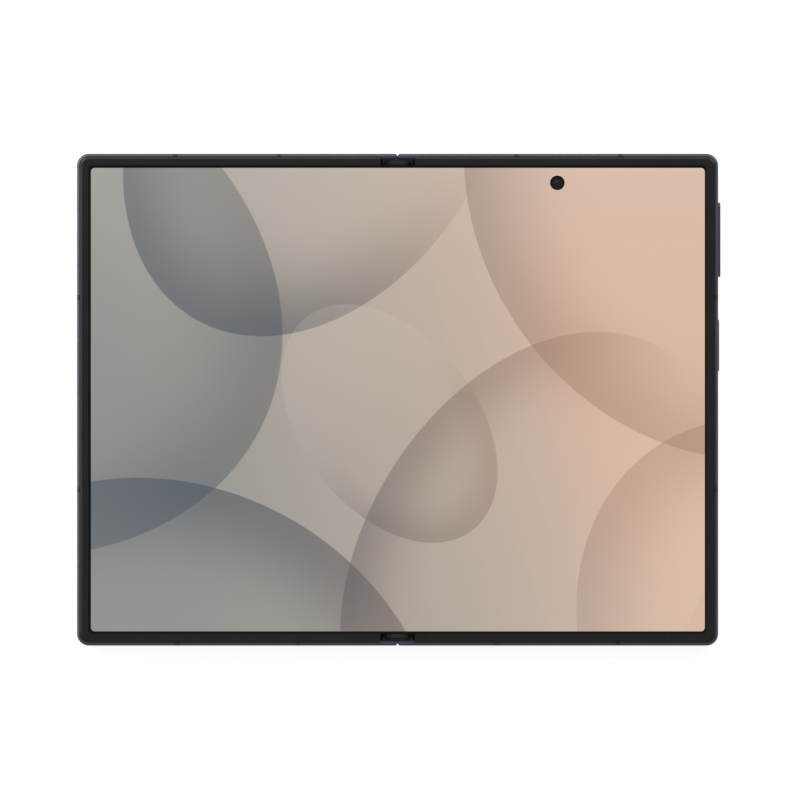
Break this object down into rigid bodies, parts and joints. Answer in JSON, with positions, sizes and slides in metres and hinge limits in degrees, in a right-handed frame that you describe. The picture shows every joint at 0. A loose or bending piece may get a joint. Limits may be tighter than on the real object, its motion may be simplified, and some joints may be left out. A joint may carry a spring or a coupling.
{
  "type": "foldable smartphone",
  "caption": "Book-style foldable smartphone, lying open: two thin metal-framed halves, a folding inner screen, a geared hinge, side keys, a charging socket and a raised rear camera island.",
  "frame": {"origin": "on the table under the middle of the unfolded phone, in the plane of the fold, at the level of the rear lens rings it rests on", "axes": "+X to the right half with the keys, +Y to the top edge along the hinge, +Z out of the screen"},
  "size_m": [0.1622, 0.1238, 0.0067],
  "materials": {
    "frame_metal": "anodised, fine bead-blasted, dark blue grey",
    "bezel": "satin black",
    "antenna_plastic": "matt, a little darker than the metal",
    "end_cap_plastic": "satin black",
    "screen": "lit screen under a glossy film",
    "back_glass": "etched glass, painted dark blue grey behind",
    "cover_glass": "polished glass over a dark screen",
    "lens_glass": "coated lens glass",
    "flash": "translucent lens",
    "camera_black": "black",
    "dark_screen": "screen that is off",
    "hinge_metal": "dark blue, satin",
    "steel": "machined",
    "gear_metal": "machined",
    "board": "circuit board",
    "cell_wrap": "dark film",
    "copper": "enamelled copper",
    "flex": "amber film",
    "speaker_plastic": "matt black"
  },
  "bodies": {
    "right_half": {"right_frame": "frame_metal", "right_bezel": "bezel", "right_antenna_breaks": "antenna_plastic", "back_glass": "back_glass", "camera_island": "frame_metal", "camera_lens_covers": "lens_glass", "flash_lens": "flash", "rear_camera_modules": "camera_black", "main_board": "board", "shield_cans": "steel", "right_battery": "cell_wrap", "charging_coil": "copper", "usb_port": "steel", "bottom_speaker": "speaker_plastic", "inner_camera": "camera_black", "right_rotators": "steel", "right_arm_guides": "steel", "display_right_panel": "screen", "key_flex_board": "flex", "vibration_motor_case": "steel", "sim_tray_socket": "steel", "right_magnets": "steel", "right_screws": "steel"},
    "hinge": {"hinge_cover": "hinge_metal", "hinge_blocks": "steel", "gear_brackets": "steel", "hinge_end_caps": "end_cap_plastic", "hinge_shafts": "steel", "detent_springs": "steel", "hinge_screws": "steel", "hinge_flex_cable": "flex", "display_fold_zone": "screen"},
    "left_half": {"left_frame": "frame_metal", "left_bezel": "bezel", "left_antenna_breaks": "antenna_plastic", "cover_glass": "cover_glass", "cover_display_panel": "dark_screen", "cover_camera": "camera_black", "left_battery": "cell_wrap", "left_board": "board", "earpiece_speaker": "speaker_plastic", "left_rotators": "steel", "left_arm_guides": "steel", "display_left_panel": "screen", "left_magnets": "steel", "left_screws": "steel"},
    "right_arms": {"right_gear_arms": "gear_metal"},
    "left_arms": {"left_gear_arms": "gear_metal"},
    "right_idlers": {"right_idler_gears": "gear_metal"},
    "left_idlers": {"left_idler_gears": "gear_metal"},
    "right_wing": {"right_wing_plate": "steel"},
    "left_wing": {"left_wing_plate": "steel"},
    "volume_rocker": {"volume_key": "frame_metal"},
    "power_button": {"power_key": "frame_metal"},
    "card_tray": {"sim_tray": "frame_metal"},
    "main_focus": {"main_lens_barrel": "camera_black"},
    "wide_focus": {"wide_lens_barrel": "camera_black"},
    "motor_mass": {"vibration_mass": "steel"}
  },
  "joints": [
    {"name": "right_fold", "type": "hinge", "parent": "right_half", "child": "hinge", "pos_m": [0.0012, 0, 0.00555], "axis": [0, 1, 0], "range_deg": [0, 90], "deforming": ["display_fold_zone", "hinge_flex_cable"]},
    {"name": "left_fold", "type": "hinge", "parent": "hinge", "child": "left_half", "pos_m": [-0.0012, 0, 0.00555], "axis": [0, 1, 0], "range_deg": [0, 90]},
    {"name": "right_arm_turn", "type": "hinge", "parent": "hinge", "child": "right_arms", "pos_m": [0.0021, 0, 0.00415], "axis": [0, -1, 0], "range_deg": [0, 90]},
    {"name": "left_arm_turn", "type": "hinge", "parent": "hinge", "child": "left_arms", "pos_m": [-0.0021, 0, 0.00415], "axis": [0, 1, 0], "range_deg": [0, 90]},
    {"name": "right_idler_turn", "type": "hinge", "parent": "hinge", "child": "right_idlers", "pos_m": [0.0007, 0, 0.00415], "axis": [0, 1, 0], "range_deg": [0, 90]},
    {"name": "left_idler_turn", "type": "hinge", "parent": "hinge", "child": "left_idlers", "pos_m": [-0.0007, 0, 0.00415], "axis": [0, -1, 0], "range_deg": [0, 90]},
    {"name": "right_wing_tilt", "type": "hinge", "parent": "right_half", "child": "right_wing", "pos_m": [0.0063, 0, 0.00551], "axis": [0, -1, 0], "range_deg": [0, 15.5]},
    {"name": "left_wing_tilt", "type": "hinge", "parent": "left_half", "child": "left_wing", "pos_m": [-0.0063, 0, 0.00551], "axis": [0, 1, 0], "range_deg": [0, 15.5]},
    {"name": "volume_rock", "type": "hinge", "parent": "right_half", "child": "volume_rocker", "pos_m": [0.0795, 0.0403, 0.0041], "axis": [0, 0, 1], "range_deg": [-1, 1], "stiffness_Nm_per_rad": 0.02},
    {"name": "power_press", "type": "slide", "parent": "right_half", "child": "power_button", "axis": [-1, 0, 0], "range_m": [0, 0.00025], "stiffness_N_per_m": 6000},
    {"name": "tray_slide", "type": "slide", "parent": "right_half", "child": "card_tray", "axis": [0, -1, 0], "range_m": [0, 0.0155]},
    {"name": "main_focus_slide", "type": "slide", "parent": "right_half", "child": "main_focus", "axis": [0, 0, -1], "range_m": [0, 0.0003], "stiffness_N_per_m": 200},
    {"name": "wide_focus_slide", "type": "slide", "parent": "right_half", "child": "wide_focus", "axis": [0, 0, -1], "range_m": [0, 0.0003], "stiffness_N_per_m": 200},
    {"name": "motor_slide", "type": "slide", "parent": "right_half", "child": "motor_mass", "axis": [1, 0, 0], "range_m": [-0.0004, 0.0004], "stiffness_N_per_m": 2000}
  ],
  "couplings": [
    {"joint": "left_fold", "follows": "right_fold", "ratio": 1},
    {"joint": "right_arm_turn", "follows": "right_fold", "ratio": 1},
    {"joint": "left_arm_turn", "follows": "right_fold", "ratio": 1},
    {"joint": "right_idler_turn", "follows": "right_fold", "ratio": 1},
    {"joint": "left_idler_turn", "follows": "right_fold", "ratio": 1},
    {"joint": "right_wing_tilt", "follows": "right_fold", "ratio": 0.16667},
    {"joint": "left_wing_tilt", "follows": "right_fold", "ratio": 0.16667}
  ]
}
